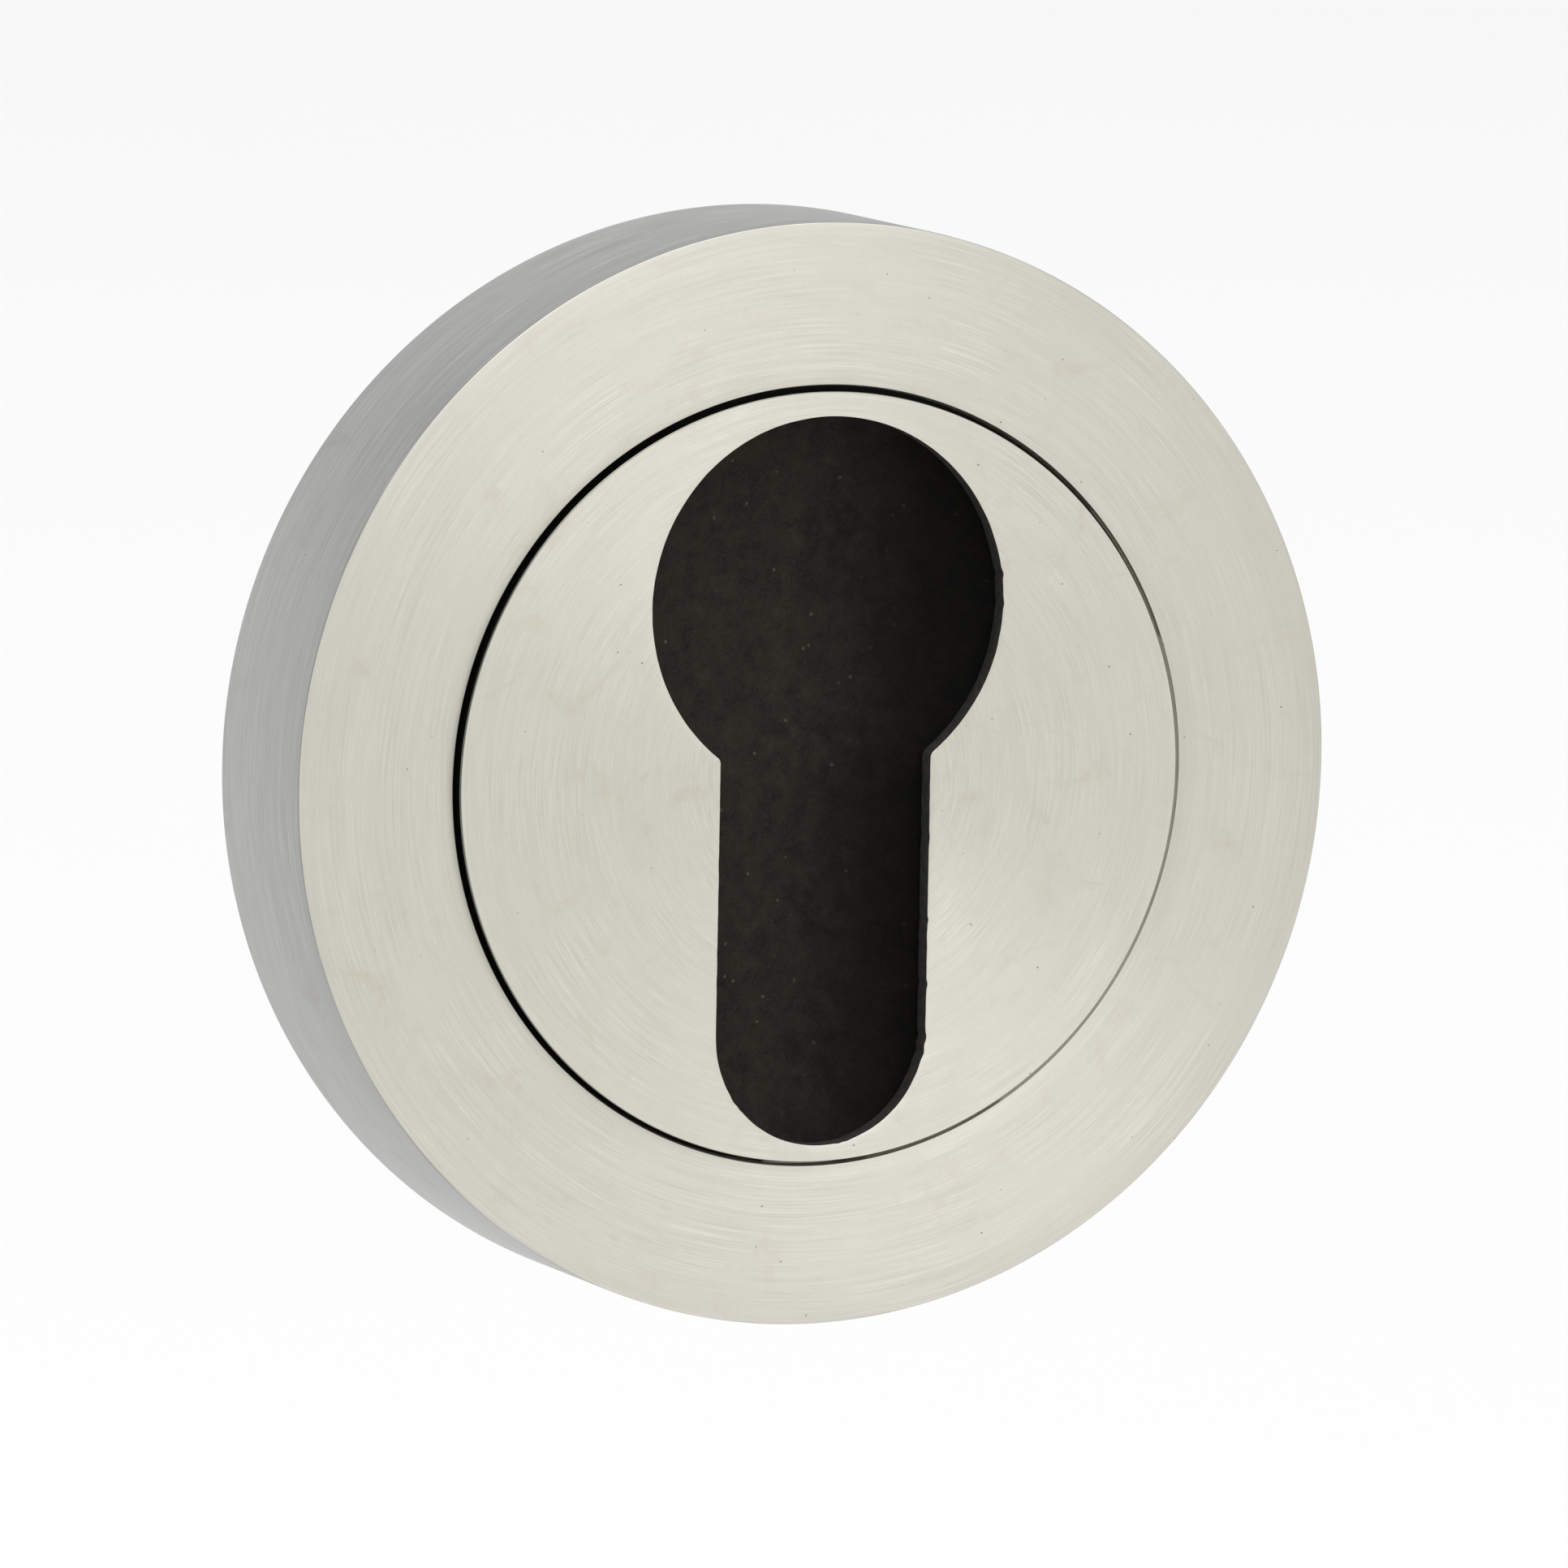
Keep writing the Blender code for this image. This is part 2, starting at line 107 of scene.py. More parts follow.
# Brushed steel. A noise is (scale per mm, detail, roughness, distortion). A run is noise
# that goes round the axis: turns, which set how short it is, its width and its shift in
# mm, detail, roughness. Shades are shares of the tint, and ranges are (from, to).
RING_TINT = (0.594, 0.578, 0.510)
DISC_TINT = (0.598, 0.583, 0.513)
RING_STREAKS = 0.44
DISC_STREAKS = 0.42
DISC_SEED = 40.0
STEEL_ROUGHNESS = 0.34
STEEL_ANISOTROPY = 0.75
BRUSHED_TURN = 0.25
FINE_RUN = (4.5, 0.050, 3.1, 2.0, 0.6)
MEDIUM_RUN = (6.0, 0.18, 11.7, 2.0, 0.55)
BROAD_RUN = (3.0, 1.2, 29.3, 2.0, 0.5)
DASH_RUN = (9.0, 0.055, 47.0, 1.0, 0.5)
PALE_DASHES = (0.22, 0.36)
DARK_DASHES = (0.64, 0.78)
GRAIN_NOISE = (6.5, 2.0, 0.6, 0.0)
PATCH_NOISE = (0.22, 3.0, 0.55, 0.6)
PATCH_RANGE = (0.38, 0.62)
SIDE_WALL_R = (25.40, 25.46)
MEDIUM_SHARE = (0.26, 0.48)
STREAK_STRENGTH = (0.45, 1.45)
STREAK_MORE_ON_SIDE = 1.3
STREAK_RANGE = (-0.4, 0.4)
BROAD_SHADE = 0.08
DASH_SHADE = 0.030
GRAIN_SHADE = 0.064
# Painted shade and light on the side wall: paler towards its back, darker towards and at its
# front edge
SIDE_PAINTED_SHADE = (0.035, -0.05)
SIDE_PAINTED_SHADE_OUT = (1.0, 9.5)
SIDE_FRONT_PAINTED_SHADE = (-0.035, 0.0)
SIDE_FRONT_Y = (-9.7, -8.9)
SPOKE_TURNS = 34.0
SPOKE_REACH = 0.35
SPOKE_RANGE = (0.3, 0.7)
SPOKE_SHADE = (-0.004, 0.004)
# Painted shade on the front near the outer rim, strongest on the right side
RIM_PAINTED_SHADE = -0.055
RIM_PAINTED_SHADE_R = (23.2, 25.2)
RIM_PAINTED_SHADE_SIDE = (0.90, 0.0, -0.43)
RIM_PAINTED_SHADE_SPREAD = (-0.5, 0.8)
SMUDGE_NOISE = (0.30, 5.0, 0.66, 1.2)
SMUDGE_RANGE = (0.52, 0.74)
SMUDGE_TONE = (0.935, 0.912, 0.890)
RUBBED_NOISE = (1.1, 4.0, 0.7, 0.8)
RUBBED_RANGE = (0.36, 0.62)
RUBBED_SHARE = (0.25, 1.0)
PIT_CELLS = 0.9
PIT_R = (0.022, 0.050)
PIT_PICK = (0.25, 0.85)
PIT_COVER = 0.85
PIT_COLOUR = (0.10, 0.085, 0.075)
PIT_DEPTH = 0.012 * MM
STREAK_DEPTH = 0.0016 * MM
STREAK_ROUGHNESS = 0.05
SMUDGE_ROUGHNESS = 0.02

# Other materials: dark tone, light tone, scale of the mottle, roughness, metallic, depth
# of the grain in mm, specular level. The grain is finer than the mottle.
MOTTLE_RANGE = (0.35, 0.65)
GRAIN_RANGE = (0.3, 0.7)
GRAIN_FINER = 7.0
GRAIN_SHARE = 0.4
GRAIN_ROUGHNESS = 0.06
CAST_ZINC = ((0.38, 0.39, 0.41), (0.52, 0.53, 0.55), 0.9, 0.5, 1.0, 0.02, 0.5)
NYLON = ((0.012, 0.012, 0.012), (0.020, 0.020, 0.020), 0.8, 0.6, 0.0, 0.01, 0.3)
FOAM = ((0.018, 0.018, 0.018), (0.035, 0.035, 0.036), 2.2, 0.9, 0.0, 0.08, 0.2)
RUBBER = ((0.012, 0.012, 0.012), (0.02, 0.02, 0.02), 1.4, 0.55, 0.0, 0.01, 0.5)
SPRING_STEEL = ((0.36, 0.36, 0.37), (0.46, 0.46, 0.47), 1.2, 0.3, 1.0, 0.004, 0.5)
CUT_EDGE = ((0.026, 0.025, 0.021), (0.066, 0.063, 0.055), 3.0, 0.7, 0.15, 0.02, 0.2)
TURNED_EDGE = ((0.34, 0.35, 0.30), (0.44, 0.45, 0.38), 3.0, 0.15, 1.0, 0.002, 0.5)
ZINC_PLATE = ((0.55, 0.56, 0.57), (0.68, 0.68, 0.66), 0.7, 0.3, 1.0, 0.004, 0.5)

# Black card: noises as above, and the painted shade is how far its tone falls to the right
CARD_CLOUDS = (0.9, 4.0, 0.6, 0.5)
CARD_FIBRES = (3.2, 4.0, 0.7, 3.0)
CARD_FIBRE_SHARE = 0.55
CARD_TONE_RANGE = (0.36, 0.66)
CARD_TONES = ((0.0085, 0.0080, 0.0070), (0.0285, 0.0240, 0.0185))
CARD_LINT = (0.060, 0.047, 0.036)
CARD_LINT_NOISE = (6.0, 2.0, 0.6, 4.0)
CARD_LINT_RANGE = (0.55, 0.72)
CARD_LINT_COVER = 0.30
CARD_SPECK = (0.13, 0.10, 0.08)
CARD_SPECK_CELLS = 0.9
CARD_SPECK_R = (0.03, 0.10)
CARD_SPECK_COVER = 0.5
CARD_PAINTED_SHADE = (1.0, 0.20)
CARD_PAINTED_SHADE_X = (-1.5, 7.5)
CARD_SLOT_ASIDE = 1.6
CARD_SLOT_Z = (-2.0, 3.0)
CARD_GRAIN = 0.06 * MM
CARD_ROUGHNESS = 0.9
CARD_SPECULAR = 0.1

# Cover ring
COVER_WALL = 1.2 * MM
LIP_T = 1.2 * MM
LIP_HOLE_R = 18.07 * MM
LIP_HOLE_X = 0.14 * MM
LIP_HOLE_Z = -0.05 * MM
LIP_WALL_SHARE = 0.5
RIM_ROUND = 0.06 * MM
RIM_SLOPE_R = 23.7 * MM
RIM_DROP = 0.04 * MM
WALL_SLOPE_OUT = 9.0 * MM
WALL_DROP = 0.015 * MM
LIP_ROUND = 0.03 * MM
LIP_FLARE = 0.07 * MM
LIP_FLARE_DEEP = 0.255 * MM
LIP_SLOPE_R = 19.4 * MM
LIP_DROP = 0.10 * MM
BACK_ROUND = 0.12 * MM
SUPPORT = 0.04 * MM
RING_STEPS = 384

# Keyed hole for the euro-profile cylinder
KEY_CIRCLE_R = 8.72 * MM
KEY_CIRCLE_Z = 7.95 * MM
KEY_SLOT_HALF = 5.22 * MM
KEY_FOOT_Z = -11.84 * MM
KEY_NECK_R = 0.35 * MM
KEY_SAG = 0.022 * MM
KEY_SAG_WIDE = 0.32 * MM
KEY_BURR = 0.02 * MM
KEY_STEP = 0.10 * MM
KEY_SHIFT = 0.2 * MM
EDGE_SEED = 7
EDGE_WAVES = 14
EDGE_WAVE_RANGE = (0.4, 5.5)
EDGE_WAVE_SLANTS = (1.7, -0.6)
EDGE_WAVE_FASTER = 1.31
EDGE_WOBBLE = 0.03 * MM
NICKS = 12
NICK_WIDE = (0.10, 0.35)
NICK_DEEP = (-0.02, 0.08)

# Face disc
DISC_T = 1.0 * MM
DISC_BEVEL_IN = 0.03 * MM
DISC_BEVEL_DOWN = 0.06 * MM
DISC_LOW_ROUND = 0.045 * MM
EDGE_NOTCH_DEEP = 0.03 * MM
FLAT_FACE = 0.01 * MM

# Studs, push nuts, gasket and spring
STUD_R = 1.0 * MM
STUD_FILLET = 0.25 * MM
STUD_BEVEL = 0.15 * MM
STUD_SIDES = 32
STUD_PLACES = ((13.4, 3.0), (-13.4, 3.0), (11.8, -8.6), (-11.8, -8.6))
NUT_T = 0.3 * MM
NUT_EYE_R = 1.45 * MM
NUT_TOOTH_R = 1.03 * MM
NUT_TEETH = 4
NUT_SLIT_FROM = -0.35
NUT_STEPS = 96
GASKET_GROW = 2.0 * MM
GASKET_BORE_R = 2.0 * MM
GASKET_BORE_SIDES = 48
GASKET_ROUND = 0.22 * MM
GASKET_STEP = KEY_STEP * 3
O_RING_SIDES = 24
SPRING_T = 0.35 * MM
SPRING_WIDTH = 2.0 * MM
SPRING_EDGE = 0.7
SPRING_WAVES = 3
SPRING_STEPS = 288

# Fixing screws
SCREW_CORE_R = 1.05 * MM
SCREW_PITCH = 1.35 * MM
SCREW_THREAD_LENGTH = 14.5 * MM
SCREW_POINT = 4.0 * MM
SCREW_HEAD_RIM = 0.25 * MM
SCREW_HEAD_T = 1.9 * MM
SCREW_NECK_R = 1.25 * MM
SCREW_MAJOR_R = 1.6 * MM
SCREW_CREST = 0.22
SCREW_TAPER = 0.8
SCREW_TIP_R = 0.01 * MM
SCREW_HEAD_ROUND = 0.04
SCREW_HEAD_FLAT = 0.3
SCREW_SIDES = 32
SCREW_ROWS_PER_PITCH = 12
DRIVE_SPAN = 3.3 * MM
DRIVE_BLADE = 0.75 * MM
DRIVE_DEPTH = 1.5 * MM
DRIVE_NARROW = 0.5
DRIVE_WIDE = 1.05
DRIVE_OVERCUT = 0.1 * MM


def to_row(x, up, out):
    """A point of the local drawing frame in the row frame."""
    return Vector((x, -out, up))


# ---------------------------------------------------------------- shader helpers

def new_material(name):
    """A node material, with its tree and its shader."""
    material = bpy.data.materials.new(name)
    material.use_nodes = True
    return material, material.node_tree, material.node_tree.nodes["Principled BSDF"]


def add_node(tree, kind, inputs=None, **settings):
    """A new shader node. Each input is a number, a tuple or another node's socket."""
    node = tree.nodes.new(kind)
    for key, value in settings.items():
        setattr(node, key, value)
    for key, value in (inputs or {}).items():
        if isinstance(value, bpy.types.NodeSocket):
            tree.links.new(value, node.inputs[key])
        else:
            node.inputs[key].default_value = value
    return node


def maths(tree, operation, a, b=0.0):
    return add_node(tree, "ShaderNodeMath", {0: a, 1: b}, operation=operation).outputs[0]


def vector_maths(tree, operation, a, b=(0.0, 0.0, 0.0)):
    node = add_node(tree, "ShaderNodeVectorMath", {0: a, 1: b}, operation=operation)
    return node.outputs["Value" if operation in ("DOT_PRODUCT", "LENGTH") else "Vector"]


def combine(tree, x, y, z):
    return add_node(tree, "ShaderNodeCombineXYZ", {0: x, 1: y, 2: z}).outputs[0]


def noise(tree, vector, scale, detail=2.0, roughness=0.5, distortion=0.0):
    inputs = {"Vector": vector, "Scale": scale, "Detail": detail, "Roughness": roughness,
              "Distortion": distortion}
    return add_node(tree, "ShaderNodeTexNoise", inputs).outputs["Fac"]


def map_range(tree, value, low, high, to_low=0.0, to_high=1.0, smooth=False):
    inputs = {"Value": value, "From Min": low, "From Max": high, "To Min": to_low,
              "To Max": to_high}
    kind = "SMOOTHSTEP" if smooth else "LINEAR"
    return add_node(tree, "ShaderNodeMapRange", inputs, interpolation_type=kind).outputs[0]


def mix_colour(tree, factor, a, b, blend="MIX"):
    """Colour b over colour a."""
    node = tree.nodes.new("ShaderNodeMix")
    node.data_type = "RGBA"
    node.blend_type = blend
    for socket, value in zip((node.inputs[0], node.inputs[6], node.inputs[7]), (factor, a, b)):
        if isinstance(value, bpy.types.NodeSocket):
            tree.links.new(value, socket)
        else:
            socket.default_value = value if isinstance(value, float) else (*value, 1.0)
    return node.outputs[2]


def bump(tree, height, distance, normal=None):
    inputs = {"Height": height, "Distance": distance}
    if normal is not None:
        inputs["Normal"] = normal
    return add_node(tree, "ShaderNodeBump", inputs).outputs[0]


def millimetres(tree):
    """Object coordinates in millimetres, which are row-frame coordinates at rest."""
    coordinates = add_node(tree, "ShaderNodeTexCoord").outputs["Object"]
    inputs = {0: coordinates, "Scale": 1.0 / MM}
    return add_node(tree, "ShaderNodeVectorMath", inputs, operation="SCALE").outputs["Vector"]


# ---------------------------------------------------------------- materials

def brushed_steel(name, tint, streaks, seed):
    """Stainless steel brushed round the Y axis, with smudges, fine pits, and painted shade and
    light on the side wall and near the rim.
    """
    material, tree, shader = new_material(name)
    place = millimetres(tree)
    axes = add_node(tree, "ShaderNodeSeparateXYZ", {0: place})
    flat = combine(tree, axes.outputs["X"], 0.0, axes.outputs["Z"])
    radius = vector_maths(tree, "LENGTH", flat)
    unit = vector_maths(tree, "NORMALIZE", flat)
    unit_axes = add_node(tree, "ShaderNodeSeparateXYZ", {0: unit})
    across = maths(tree, "SUBTRACT", radius, axes.outputs["Y"])

    def round_axis(turns, middle):
        """Noise coordinates that go round the axis, with middle along it."""
        return combine(tree, maths(tree, "MULTIPLY", unit_axes.outputs["X"], turns), middle,
                       maths(tree, "MULTIPLY", unit_axes.outputs["Z"], turns))

    def run(turns, width, shift, detail, roughness):
        """Noise that runs round the axis."""
        moved = maths(tree, "ADD", across, shift + seed)
        spot = round_axis(turns, maths(tree, "MULTIPLY", moved, 1.0 / width))
        return noise(tree, spot, 1.0, detail, roughness)

    def about_half(value, weight):
        """A noise value's distance from its middle, times a weight."""
        return maths(tree, "MULTIPLY", maths(tree, "SUBTRACT", value, 0.5), weight)

    side = map_range(tree, radius, *SIDE_WALL_R)
    fine = run(*FINE_RUN)
    medium = run(*MEDIUM_RUN)
    share = map_range(tree, side, 0.0, 1.0, *MEDIUM_SHARE)
    lines = maths(tree, "ADD", maths(tree, "SUBTRACT", fine, 0.5),
                  maths(tree, "MULTIPLY", maths(tree, "SUBTRACT", medium, fine), share))
    patches = noise(tree, place, *PATCH_NOISE)
    strength = map_range(tree, patches, *PATCH_RANGE, *STREAK_STRENGTH)
    strength = maths(tree, "ADD", strength, maths(tree, "MULTIPLY", side, STREAK_MORE_ON_SIDE))
    lines = maths(tree, "MULTIPLY", lines, strength)

    dash_field = run(*DASH_RUN)
    dashes = maths(tree, "SUBTRACT", map_range(tree, dash_field, *PALE_DASHES, 1.0, 0.0),
                   map_range(tree, dash_field, *DARK_DASHES))
    grain = noise(tree, place, *GRAIN_NOISE)
    # Painted shade and light on the side wall: paler towards its back, darker at its front edge
    out = maths(tree, "MULTIPLY", axes.outputs["Y"], -1.0)
    wall_painted_shade = maths(tree, "ADD", map_range(tree, out, *SIDE_PAINTED_SHADE_OUT, *SIDE_PAINTED_SHADE),
                       map_range(tree, axes.outputs["Y"], *SIDE_FRONT_Y, *SIDE_FRONT_PAINTED_SHADE))
    spot = round_axis(SPOKE_TURNS, maths(tree, "MULTIPLY", radius, SPOKE_REACH))
    spokes = noise(tree, spot, 1.0, 1.0)
    # Painted shade on the front near the outer rim, strongest on the right side
    turned_away = vector_maths(tree, "DOT_PRODUCT", unit, RIM_PAINTED_SHADE_SIDE)
    rim_painted_shade = maths(tree, "MULTIPLY",
                      map_range(tree, radius, *RIM_PAINTED_SHADE_R, 0.0, RIM_PAINTED_SHADE, smooth=True),
                      map_range(tree, turned_away, *RIM_PAINTED_SHADE_SPREAD))
    shade = 1.0
    for part in (maths(tree, "MULTIPLY", lines, streaks),
                 about_half(run(*BROAD_RUN), BROAD_SHADE),
                 maths(tree, "MULTIPLY", dashes, DASH_SHADE),
                 about_half(grain, GRAIN_SHADE),
                 maths(tree, "MULTIPLY", side, wall_painted_shade),
                 map_range(tree, spokes, *SPOKE_RANGE, *SPOKE_SHADE),
                 maths(tree, "MULTIPLY", rim_painted_shade, maths(tree, "SUBTRACT", 1.0, side))):
        shade = maths(tree, "ADD", shade, part)

    smudge_field = noise(tree, place, *SMUDGE_NOISE)
    rubbed_field = noise(tree, flat, *RUBBED_NOISE)
    smudge = maths(tree, "MULTIPLY",
                   map_range(tree, smudge_field, *SMUDGE_RANGE, smooth=True),
                   map_range(tree, rubbed_field, *RUBBED_RANGE, *RUBBED_SHARE))
    cells = add_node(tree, "ShaderNodeTexVoronoi", {"Vector": place, "Scale": PIT_CELLS})
    pick = add_node(tree, "ShaderNodeSeparateXYZ", {0: cells.outputs["Color"]})
    pit = maths(tree, "MULTIPLY", map_range(tree, cells.outputs["Distance"], *PIT_R, 1.0, 0.0),
                map_range(tree, pick.outputs["X"], *PIT_PICK))

    toned = mix_colour(tree, 1.0, tint, combine(tree, shade, shade, shade), "MULTIPLY")
    smudged = mix_colour(tree, smudge, toned, tuple(a * b for a, b in zip(tint, SMUDGE_TONE)))
    pitted = mix_colour(tree, maths(tree, "MULTIPLY", pit, PIT_COVER), smudged, PIT_COLOUR)
    tree.links.new(pitted, shader.inputs["Base Color"])

    rough = map_range(tree, lines, *STREAK_RANGE, STEEL_ROUGHNESS - STREAK_ROUGHNESS,
                      STEEL_ROUGHNESS + STREAK_ROUGHNESS)
    rough = maths(tree, "ADD", rough, maths(tree, "MULTIPLY", smudge, SMUDGE_ROUGHNESS))
    tree.links.new(rough, shader.inputs["Roughness"])
    grooves = bump(tree, lines, STREAK_DEPTH)
    tree.links.new(bump(tree, pit, -PIT_DEPTH, normal=grooves), shader.inputs["Normal"])

    tangent = add_node(tree, "ShaderNodeTangent", direction_type="RADIAL", axis="Y")
    tree.links.new(tangent.outputs[0], shader.inputs["Tangent"])
    shader.inputs["Metallic"].default_value = 1.0
    shader.inputs["Anisotropic"].default_value = STEEL_ANISOTROPY
    shader.inputs["Anisotropic Rotation"].default_value = BRUSHED_TURN
    return material


def plain_detail(name, dark, light, scale, roughness, metallic, bump_mm, specular):
    """A mottled material: two tones, uneven roughness and a fine grain."""
    material, tree, shader = new_material(name)
    place = millimetres(tree)
    mottle = noise(tree, place, scale, 5.0, 0.6)
    grain = noise(tree, place, scale * GRAIN_FINER, 3.0, 0.6)
    tone = maths(tree, "ADD", maths(tree, "MULTIPLY", mottle, 1.0 - GRAIN_SHARE),
                 maths(tree, "MULTIPLY", grain, GRAIN_SHARE))
    factor = map_range(tree, tone, *MOTTLE_RANGE)
    tree.links.new(mix_colour(tree, factor, dark, light), shader.inputs["Base Color"])
    rough = map_range(tree, grain, *GRAIN_RANGE, roughness - GRAIN_ROUGHNESS,
                      roughness + GRAIN_ROUGHNESS)
    tree.links.new(rough, shader.inputs["Roughness"])
    tree.links.new(bump(tree, tone, bump_mm * MM), shader.inputs["Normal"])
    shader.inputs["Metallic"].default_value = metallic
    shader.inputs["Specular IOR Level"].default_value = specular
    return material


def black_card():
    """Fibrous black card, browner and paler on the left and deep black on the right; the fall to
    the right is painted shade.
    """
    material, tree, shader = new_material("black_card")
    place = millimetres(tree)
    axes = add_node(tree, "ShaderNodeSeparateXYZ", {0: place})
    clouds = noise(tree, place, *CARD_CLOUDS)
    fibres = noise(tree, place, *CARD_FIBRES)
    lint = map_range(tree, noise(tree, place, *CARD_LINT_NOISE), *CARD_LINT_RANGE)
    tone = maths(tree, "ADD", maths(tree, "MULTIPLY", clouds, 1.0 - CARD_FIBRE_SHARE),
                 maths(tree, "MULTIPLY", fibres, CARD_FIBRE_SHARE))
    # Painted shade: the card's tone falls off towards the right, starting further left in the
    # slot
    aside = map_range(tree, axes.outputs["Z"], *CARD_SLOT_Z, CARD_SLOT_ASIDE, 0.0, smooth=True)
    painted_card_shade = map_range(tree, maths(tree, "ADD", axes.outputs["X"], aside), *CARD_PAINTED_SHADE_X,
                     *CARD_PAINTED_SHADE, smooth=True)
    base = mix_colour(tree, map_range(tree, tone, *CARD_TONE_RANGE), *CARD_TONES)
    base = mix_colour(tree, maths(tree, "MULTIPLY", lint, CARD_LINT_COVER), base, CARD_LINT)
    cells = add_node(tree, "ShaderNodeTexVoronoi", {"Vector": place, "Scale": CARD_SPECK_CELLS})
    speck = map_range(tree, cells.outputs["Distance"], *CARD_SPECK_R, CARD_SPECK_COVER, 0.0)
    base = mix_colour(tree, speck, base, CARD_SPECK)
    base = mix_colour(tree, 1.0, base, combine(tree, painted_card_shade, painted_card_shade, painted_card_shade), "MULTIPLY")
    tree.links.new(base, shader.inputs["Base Color"])
    tree.links.new(bump(tree, tone, CARD_GRAIN), shader.inputs["Normal"])
    shader.inputs["Roughness"].default_value = CARD_ROUGHNESS
    shader.inputs["Specular IOR Level"].default_value = CARD_SPECULAR
    return material


def floor_material():
    """Pale matt floor, with a glow that keeps it near white as a lit sweep is."""
    material, tree, shader = new_material("floor")
    place = add_node(tree, "ShaderNodeTexCoord").outputs["Object"]
    tone = map_range(tree, noise(tree, place, *FLOOR_MOTTLE), *GRAIN_RANGE, *FLOOR_TONE)
    tree.links.new(combine(tree, tone, tone, tone), shader.inputs["Base Color"])
    axes = add_node(tree, "ShaderNodeSeparateXYZ", {0: place})
    far = map_range(tree, vector_maths(tree, "LENGTH", combine(
        tree, axes.outputs["X"], axes.outputs["Y"], 0.0)), *FLOOR_GLOW_REACH)
    glow = mix_colour(tree, far, FLOOR_GLOW_NEAR, FLOOR_GLOW_FAR)
    tree.links.new(glow, shader.inputs["Emission Color"])
    shader.inputs["Emission Strength"].default_value = 1.0
    shader.inputs["Roughness"].default_value = 1.0
    shader.inputs["Specular IOR Level"].default_value = 0.0
    return material


# ---------------------------------------------------------------- mesh helpers

def piece_from(bm, name, material, sharp_angle=40.0):
    """A smooth-shaded object from a bmesh, with its sharp edges kept."""
    bmesh.ops.recalc_face_normals(bm, faces=bm.faces)
    mesh = bpy.data.meshes.new(name)
    bm.to_mesh(mesh)
    bm.free()
    mesh.materials.append(material)
    mesh.shade_smooth()
    mesh.set_sharp_from_angle(angle=math.radians(sharp_angle))
    obj = bpy.data.objects.new(name, mesh)
    bpy.context.scene.collection.objects.link(obj)
    return obj


def arc(centre, radius, start, end, steps):
    """Points along an arc, both ends included; angles in degrees."""
    angles = [math.radians(start + (end - start) * i / steps) for i in range(steps + 1)]
    return [(centre[0] + radius * math.cos(a), centre[1] + radius * math.sin(a))
            for a in angles]


def sag(start, end, along, steps=8):
    """Points after start on a curve that leaves it straight and bends away to end."""
    points = []
    for i in range(1, steps + 1):
        t = i / steps
        even, bent = t, t * t
        share = (bent, even) if along == "out" else (even, bent)
        points.append((start[0] + (end[0] - start[0]) * share[0],
                       start[1] + (end[1] - start[1]) * share[1]))
    return points


def turn(name, profile, steps, material, aside=None, sharp_angle=40.0):
    """Turn a closed profile of (radius, out) points about the axis.

    aside gives, for a radius, how far that circle's centre lies to the right and up.
    """
    bm = bmesh.new()
    rings = []
    for k in range(steps):
        a = 2 * math.pi * k / steps
        ring = []
        for r, out in profile:
            x, z = aside(r) if aside else (0.0, 0.0)
            ring.append(bm.verts.new(to_row(x + r * math.cos(a), z + r * math.sin(a), out)))
        rings.append(ring)
    count = len(profile)
    for k in range(steps):
        here, there = rings[k], rings[(k + 1) % steps]
        for i in range(count):
            j = (i + 1) % count
            bm.faces.new((here[i], here[j], there[j], there[i]))
    return piece_from(bm, name, material, sharp_angle)


def key_outline(grow, spacing):
    """Points and outward normals of the euro-profile hole, moved outwards by grow."""
    circle_r = KEY_CIRCLE_R + grow
    half = KEY_SLOT_HALF + grow
    neck_x = half + KEY_NECK_R
    reach = circle_r + KEY_NECK_R
    neck_z = KEY_CIRCLE_Z - math.sqrt(reach ** 2 - neck_x ** 2)
    tilt = math.degrees(math.asin((KEY_CIRCLE_Z - neck_z) / reach))
    samples = []

    def sweep(centre, radius, start, end, outward):
        steps = max(3, math.ceil(abs(math.radians(end - start)) * radius / spacing))
        for i in range(steps):
            a = math.radians(start + (end - start) * i / steps)
            normal = (outward * math.cos(a), outward * math.sin(a))
            samples.append((centre[0] + radius * math.cos(a),
                            centre[1] + radius * math.sin(a), *normal))

    def straight(x, z_from, z_to, normal_x):
        steps = math.ceil(abs(z_to - z_from) / spacing)
        for i in range(steps):
            samples.append((x, z_from + (z_to - z_from) * i / steps, normal_x, 0.0))

    sweep((0.0, KEY_FOOT_Z), half, 180, 360, 1)
    straight(half, KEY_FOOT_Z, neck_z, 1.0)
    sweep((neck_x, neck_z), KEY_NECK_R, 180, 180 - tilt, -1)
    sweep((0.0, KEY_CIRCLE_Z), circle_r, -tilt, 180 + tilt, 1)
    sweep((-neck_x, neck_z), KEY_NECK_R, tilt, 0, -1)
    straight(-half, neck_z, KEY_FOOT_Z, -1.0)
    return samples


def circle_outline(radius, count, centre=(0.0, 0.0)):
    """Points and outward normals of a circle."""
    turns = [2 * math.pi * i / count for i in range(count)]
    return [(centre[0] + radius * math.cos(a), centre[1] + radius * math.sin(a),
             math.cos(a), math.sin(a)) for a in turns]


def loop_rows(bm, outline, rows, wobble=None):
    """Rows of vertices along an outline: each row is (shift along the normal, out)."""
    made = []
    for shift, out in rows:
        ring = []
        for i, (x, z, nx, nz) in enumerate(outline):
            moved = shift + (wobble[i] if wobble else 0.0)
            ring.append(bm.verts.new(to_row(x + nx * moved, z + nz * moved, out)))
        made.append(ring)
    for here, there in zip(made, made[1:]):
        for i in range(len(here)):
            j = (i + 1) % len(here)
            bm.faces.new((here[i], here[j], there[j], there[i]))
    return made


